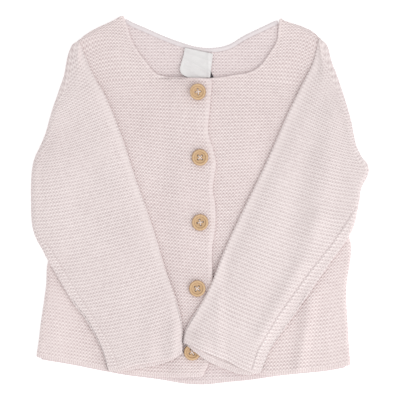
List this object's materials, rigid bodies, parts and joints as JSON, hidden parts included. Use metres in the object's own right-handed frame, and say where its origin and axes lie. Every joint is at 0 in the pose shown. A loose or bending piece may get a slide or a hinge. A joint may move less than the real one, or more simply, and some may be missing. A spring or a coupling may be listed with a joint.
{
  "type": "baby cardigan",
  "caption": "Knitted baby cardigan in pale pink garter stitch, laid flat, buttoned with round wooden buttons, sleeves folded over the fronts.",
  "frame": {"origin": "middle of the bounding box, on the surface the cardigan lies on", "axes": "+Y from the hem to the neck, +Z away from the surface, +X to the wearer's left"},
  "size_m": [0.2864, 0.313, 0.0148],
  "materials": {
    "knit": "matte garter-stitch cotton knit",
    "edging": "matte smooth knitted edging",
    "button": "satin",
    "label": "woven satin",
    "tab": "matte woven"
  },
  "bodies": {
    "root": {"back": "knit", "front_right": "knit", "front_left": "knit", "sleeve_right": "knit", "sleeve_left": "knit", "neckband_right": "edging", "neckband_left": "edging", "neckband_back": "edging", "label": "label", "size_tab": "tab", "button_1": "button", "button_2": "button", "button_3": "button", "button_4": "button", "button_5": "button"}
  },
  "joints": []
}
